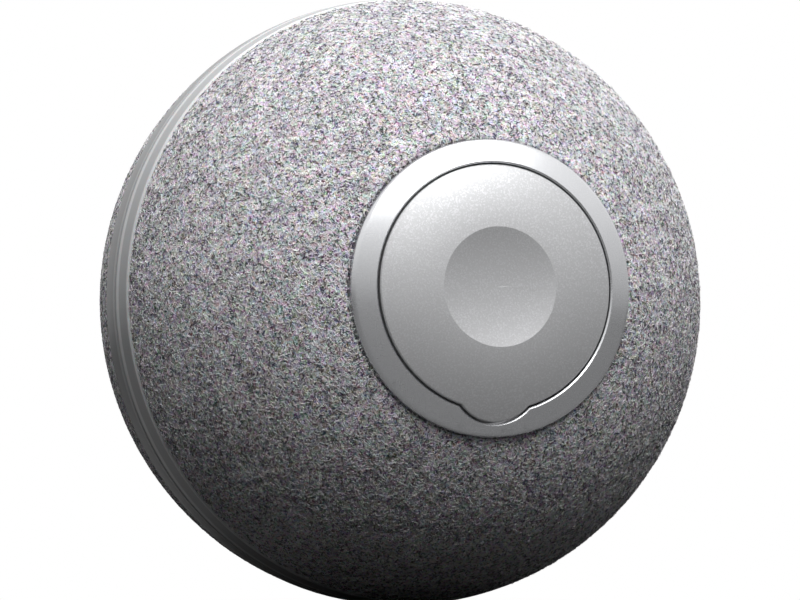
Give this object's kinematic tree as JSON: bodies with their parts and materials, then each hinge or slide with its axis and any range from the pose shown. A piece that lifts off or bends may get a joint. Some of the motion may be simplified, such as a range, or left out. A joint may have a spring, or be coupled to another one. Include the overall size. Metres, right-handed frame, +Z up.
{
  "type": "self rolling cat ball",
  "caption": "Felt-covered ball that rolls itself: two shells with a plain band, a ringed pull-out lid over a charging port, and a geared pendulum inside.",
  "frame": {"origin": "centre of the ball, on the rolling axis in the parting plane of the two shells", "axes": "+Y along the rolling axis from the lid to the rear cap, +Z up, +X to the right seen from the lid side"},
  "size_m": [0.043, 0.0384, 0.043],
  "materials": {
    "shell_plastic": "satin translucent grey",
    "felt": "heather grey wool felt",
    "ring_silver": "glossy silver plating on plastic",
    "lid_silver": "satin silver lacquer",
    "bush_white": "natural acetal",
    "bronze": "sintered bronze",
    "gear_white": "moulded acetal",
    "housing_black": "fine spark texture",
    "face_black": "fine spark texture",
    "steel": "bright zinc",
    "motor_steel": "nickel plated",
    "motor_end_plastic": "moulded nylon",
    "cell_wrap": "laminated foil",
    "board_green": "solder mask",
    "component_black": "moulded packages",
    "button_grey": "soft satin",
    "lens_clear": "clear",
    "led_white": "white package",
    "lead_red": "insulation",
    "lead_black": "insulation"
  },
  "bodies": {
    "shell": {"front_half_shell": "shell_plastic", "rear_half_shell": "shell_plastic", "front_felt_cover": "felt", "rear_felt_cover": "felt", "front_trim_ring": "ring_silver", "rear_trim_ring": "ring_silver", "rear_cap": "lid_silver", "front_bush": "bush_white", "rear_bush": "bronze", "drive_ring": "gear_white", "ring_screws": "steel"},
    "module": {"chassis_base": "housing_black", "chassis_cover": "housing_black", "gear_plate": "housing_black", "rear_axle": "steel", "gear_pins": "steel", "cover_screws": "steel", "plate_screws": "steel", "gear_motor": "motor_steel", "motor_end": "motor_end_plastic", "battery": "cell_wrap", "counterweight": "steel", "charging_face": "face_black", "charging_socket": "steel", "socket_contacts": "component_black", "port_board": "board_green", "tact_switch": "component_black", "light_pipe": "lens_clear", "status_light": "led_white", "main_board": "board_green", "board_parts": "component_black", "motion_sensor": "steel", "motor_leads": "lead_red", "battery_leads": "lead_black"},
    "lid": {"port_lid": "lid_silver"},
    "button": {"power_button": "button_grey"},
    "last_gear": {"last_gear": "gear_white"},
    "middle_gear": {"middle_gear": "gear_white"},
    "rotor": {"motor_pinion": "steel"}
  },
  "joints": [
    {"name": "module_spin", "type": "hinge", "parent": "shell", "child": "module", "pos_m": [0, 0, 0], "axis": [0, 1, 0], "continuous": true},
    {"name": "last_gear_spin", "type": "hinge", "parent": "module", "child": "last_gear", "pos_m": [0.00411, 0.0102, 0.0049], "axis": [0, 1, 0], "continuous": true},
    {"name": "middle_gear_spin", "type": "hinge", "parent": "module", "child": "middle_gear", "pos_m": [0.00284, 0.009, -0.00081], "axis": [0, 1, 0], "continuous": true},
    {"name": "rotor_spin", "type": "hinge", "parent": "module", "child": "rotor", "pos_m": [0.0062, 0.008, -0.0056], "axis": [0, 1, 0], "continuous": true},
    {"name": "lid_pull", "type": "slide", "parent": "shell", "child": "lid", "axis": [0, -1, 0], "range_m": [0, 0.012]},
    {"name": "button_press", "type": "slide", "parent": "module", "child": "button", "axis": [0, 1, 0], "range_m": [0, 0.00025], "stiffness_N_per_m": 400, "springref_m": -0.0002}
  ],
  "couplings": [
    {"joint": "last_gear_spin", "follows": "module_spin", "ratio": -4.2},
    {"joint": "middle_gear_spin", "follows": "module_spin", "ratio": 14},
    {"joint": "rotor_spin", "follows": "module_spin", "ratio": -46.667}
  ]
}
